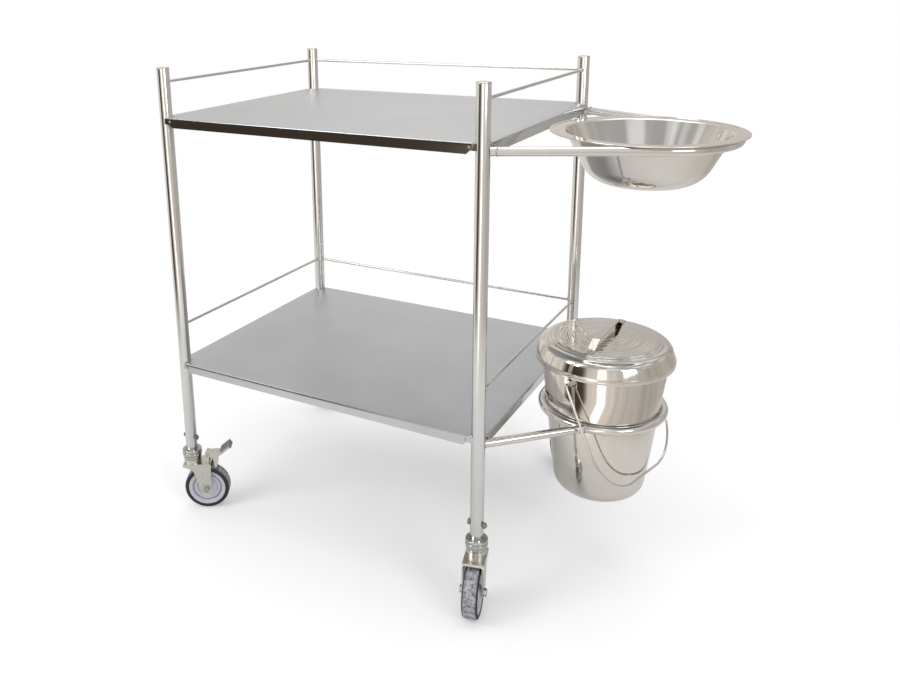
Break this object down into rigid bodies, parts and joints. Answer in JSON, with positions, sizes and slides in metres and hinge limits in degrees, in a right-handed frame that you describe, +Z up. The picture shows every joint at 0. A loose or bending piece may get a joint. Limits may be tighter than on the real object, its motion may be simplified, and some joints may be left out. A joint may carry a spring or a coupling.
{
  "type": "dressing trolley",
  "caption": "Stainless steel two-shelf dressing trolley on braked castors, with guard rails, a wash bowl in a hoop and a lidded bucket in a ring on its right side.",
  "frame": {"origin": "on the floor, midway between the four leg axes", "axes": "+X to the right along the front edge, towards the bowl and bucket; +Y from the open front edge to the railed rear edge; +Z up"},
  "size_m": [1.0991, 0.6936, 0.99],
  "materials": {
    "tube_stainless": "polished stainless steel tube",
    "tray_stainless": "satin stainless steel sheet",
    "rod_stainless": "polished stainless steel rod",
    "vessel_stainless": "mirror polished stainless steel sheet",
    "castor_chrome": "bright plated steel",
    "fork_steel": "plated pressed steel",
    "fastener_steel": "plain steel fasteners",
    "wheel_plastic": "lilac grey moulded plastic",
    "tyre_rubber": "charcoal rubber tread",
    "pedal_plastic": "grey ribbed plastic"
  },
  "bodies": {
    "frame": {"leg_front_left": "tube_stainless", "stem_front_left": "castor_chrome", "leg_front_right": "tube_stainless", "stem_front_right": "castor_chrome", "leg_rear_left": "tube_stainless", "stem_rear_left": "castor_chrome", "leg_rear_right": "tube_stainless", "stem_rear_right": "castor_chrome", "leg_caps": "tube_stainless", "upper_shelf": "tray_stainless", "upper_shelf_tabs": "tray_stainless", "upper_rail_left": "rod_stainless", "upper_rail_right": "rod_stainless", "upper_rail_rear": "rod_stainless", "lower_shelf": "tray_stainless", "lower_shelf_tabs": "tray_stainless", "lower_rail_left": "rod_stainless", "lower_rail_right": "rod_stainless", "lower_rail_rear": "rod_stainless", "shelf_rivets": "fastener_steel", "bowl_hoop": "tube_stainless", "bucket_ring": "tube_stainless", "bucket_arm_front": "tube_stainless", "bucket_arm_rear": "tube_stainless", "cross_bolts": "fastener_steel", "cross_nuts": "fastener_steel"},
    "bowl": {"bowl": "vessel_stainless"},
    "bucket": {"bucket": "vessel_stainless", "bucket_ears": "vessel_stainless"},
    "bail": {"bail": "rod_stainless"},
    "lid": {"lid": "vessel_stainless", "lid_handle": "vessel_stainless", "lid_rivets": "fastener_steel"},
    "castor_front_left": {"fork_front_left": "fork_steel", "axle_front_left": "fastener_steel"},
    "wheel_front_left": {"wheel_front_left": "wheel_plastic", "tyre_front_left": "tyre_rubber"},
    "brake_front_left": {"brake_lever_front_left": "fork_steel", "brake_pedal_front_left": "pedal_plastic"},
    "castor_front_right": {"fork_front_right": "fork_steel", "axle_front_right": "fastener_steel"},
    "wheel_front_right": {"wheel_front_right": "wheel_plastic", "tyre_front_right": "tyre_rubber"},
    "castor_rear_left": {"fork_rear_left": "fork_steel", "axle_rear_left": "fastener_steel"},
    "wheel_rear_left": {"wheel_rear_left": "wheel_plastic", "tyre_rear_left": "tyre_rubber"},
    "castor_rear_right": {"fork_rear_right": "fork_steel", "axle_rear_right": "fastener_steel"},
    "wheel_rear_right": {"wheel_rear_right": "wheel_plastic", "tyre_rear_right": "tyre_rubber"},
    "brake_rear_right": {"brake_lever_rear_right": "fork_steel", "brake_pedal_rear_right": "pedal_plastic"}
  },
  "joints": [
    {"name": "bowl_lift", "type": "slide", "parent": "frame", "child": "bowl", "axis": [0, 0, 1], "range_m": [0, 0.16]},
    {"name": "bucket_lift", "type": "slide", "parent": "frame", "child": "bucket", "axis": [0, 0, 1], "range_m": [0, 0.09]},
    {"name": "bail_swing", "type": "hinge", "parent": "bucket", "child": "bail", "pos_m": [0.4973, 0, 0.421], "axis": [-0.2588, -0.9659, 0], "range_deg": [0, 222]},
    {"name": "lid_lift", "type": "slide", "parent": "bucket", "child": "lid", "axis": [0, 0, 1], "range_m": [0, 0.16]},
    {"name": "swivel_front_left", "type": "hinge", "parent": "frame", "child": "castor_front_left", "pos_m": [-0.3473, -0.2673, 0.122], "axis": [0, 0, 1], "continuous": true},
    {"name": "roll_front_left", "type": "hinge", "parent": "castor_front_left", "child": "wheel_front_left", "pos_m": [-0.32145, -0.25207, 0.05], "axis": [-0.5075, 0.8616, 0], "continuous": true},
    {"name": "brake_press_front_left", "type": "hinge", "parent": "castor_front_left", "child": "brake_front_left", "pos_m": [-0.318, -0.25004, 0.1288], "axis": [-0.5075, 0.8616, 0], "range_deg": [0, 6.5]},
    {"name": "swivel_front_right", "type": "hinge", "parent": "frame", "child": "castor_front_right", "pos_m": [0.3473, -0.2673, 0.122], "axis": [0, 0, 1], "continuous": true},
    {"name": "roll_front_right", "type": "hinge", "parent": "castor_front_right", "child": "wheel_front_right", "pos_m": [0.35456, -0.29641, 0.05], "axis": [0.9703, 0.2419, 0], "continuous": true},
    {"name": "swivel_rear_left", "type": "hinge", "parent": "frame", "child": "castor_rear_left", "pos_m": [-0.3473, 0.2673, 0.122], "axis": [0, 0, 1], "continuous": true},
    {"name": "roll_rear_left", "type": "hinge", "parent": "castor_rear_left", "child": "wheel_rear_left", "pos_m": [-0.33803, 0.29583, 0.05], "axis": [-0.9511, 0.309, 0], "continuous": true},
    {"name": "swivel_rear_right", "type": "hinge", "parent": "frame", "child": "castor_rear_right", "pos_m": [0.3473, 0.2673, 0.122], "axis": [0, 0, 1], "continuous": true},
    {"name": "roll_rear_right", "type": "hinge", "parent": "castor_rear_right", "child": "wheel_rear_right", "pos_m": [0.32883, 0.29094, 0.05], "axis": [-0.788, -0.6157, 0], "continuous": true},
    {"name": "brake_press_rear_right", "type": "hinge", "parent": "castor_rear_right", "child": "brake_rear_right", "pos_m": [0.32637, 0.29409, 0.1288], "axis": [-0.788, -0.6157, 0], "range_deg": [0, 6.5]}
  ]
}
